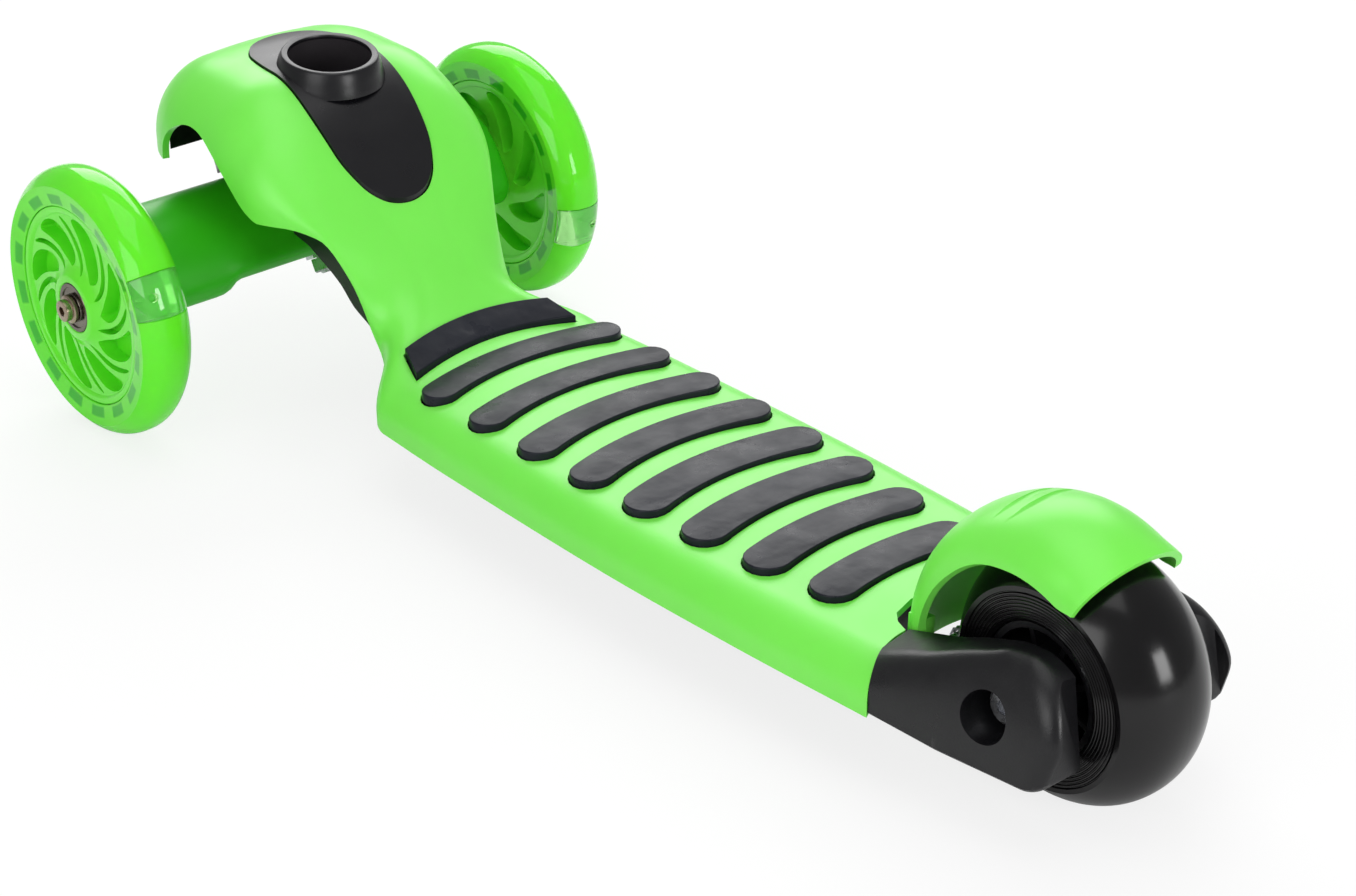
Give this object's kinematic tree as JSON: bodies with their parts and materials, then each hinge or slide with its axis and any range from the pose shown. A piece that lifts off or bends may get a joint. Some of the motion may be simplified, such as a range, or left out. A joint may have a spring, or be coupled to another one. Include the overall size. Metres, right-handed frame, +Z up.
{
  "type": "kick scooter base",
  "caption": "Base of a three-wheel kick scooter: moulded deck with grip strips, lean-to-steer front axle, open column socket, rear wheel in a fork and a fender brake.",
  "frame": {"origin": "on the ground, under the middle of the overall box", "axes": "+Z up, -Y towards the front wheels, +X towards the rider's left, with the steering straight"},
  "size_m": [0.259, 0.5836, 0.1537],
  "materials": {
    "green_moulding": "satin",
    "wheel_green": "gloss",
    "green_tyre": "clear gloss",
    "clear_insert": "clear gloss",
    "black_nylon": "matte",
    "gloss_black": "gloss",
    "black_tyre": "satin",
    "grip_rubber": "matte",
    "nickel": "plated",
    "steel": "zinc plated"
  },
  "bodies": {
    "deck": {"deck_cover": "green_moulding", "chassis": "black_nylon", "socket_trim": "gloss_black", "column_sleeve": "black_nylon", "grip_strip_1": "grip_rubber", "grip_strip_2": "grip_rubber", "grip_strip_3": "grip_rubber", "grip_strip_4": "grip_rubber", "grip_strip_5": "grip_rubber", "grip_strip_6": "grip_rubber", "grip_strip_7": "grip_rubber", "grip_strip_8": "grip_rubber", "grip_strip_9": "grip_rubber", "cover_screw_1": "steel", "cover_screw_2": "steel", "cover_screw_3": "steel", "cover_screw_4": "steel", "cover_screw_5": "steel", "cover_screw_6": "steel", "kingpin_bolt": "steel", "kingpin_washer": "steel", "kingpin_nut": "steel", "rear_axle_bolt": "nickel", "rear_axle_nut": "nickel", "rear_left_collar": "steel", "rear_right_collar": "steel", "brake_pin": "steel", "brake_spring": "steel"},
    "front_axle": {"axle_beam": "green_moulding", "upper_steering_bush": "grip_rubber", "lower_steering_bush": "black_nylon", "left_axle_bolt": "nickel", "right_axle_bolt": "nickel", "left_axle_washer": "steel", "right_axle_washer": "steel"},
    "left_front_wheel": {"left_wheel_hub": "wheel_green", "left_tyre": "green_tyre", "left_light_insert": "clear_insert", "left_inner_bearing": "steel", "left_outer_bearing": "steel", "left_bearing_spacer": "steel"},
    "right_front_wheel": {"right_wheel_hub": "wheel_green", "right_tyre": "green_tyre", "right_light_insert": "clear_insert", "right_inner_bearing": "steel", "right_outer_bearing": "steel", "right_bearing_spacer": "steel"},
    "rear_wheel": {"rear_tyre": "black_tyre", "rear_hub": "black_nylon", "rear_left_bearing": "steel", "rear_right_bearing": "steel", "rear_bearing_spacer": "steel"},
    "brake": {"brake_fender": "green_moulding"}
  },
  "joints": [
    {"name": "steering", "type": "hinge", "parent": "deck", "child": "front_axle", "pos_m": [0, -0.2304, 0.068], "axis": [0, -0.4695, 0.8829], "range_deg": [-15, 15], "stiffness_Nm_per_rad": 25},
    {"name": "left_front_wheel_spin", "type": "hinge", "parent": "front_axle", "child": "left_front_wheel", "pos_m": [0.1109, -0.2304, 0.06], "axis": [1, 0, 0], "continuous": true},
    {"name": "right_front_wheel_spin", "type": "hinge", "parent": "front_axle", "child": "right_front_wheel", "pos_m": [-0.1109, -0.2304, 0.06], "axis": [1, 0, 0], "continuous": true},
    {"name": "rear_wheel_spin", "type": "hinge", "parent": "deck", "child": "rear_wheel", "pos_m": [0, 0.2424, 0.05], "axis": [1, 0, 0], "continuous": true},
    {"name": "fender_brake", "type": "hinge", "parent": "deck", "child": "brake", "pos_m": [0, 0.1844, 0.0365], "axis": [1, 0, 0], "range_deg": [-5.5, 0], "stiffness_Nm_per_rad": 4, "springref_deg": 3.44}
  ]
}
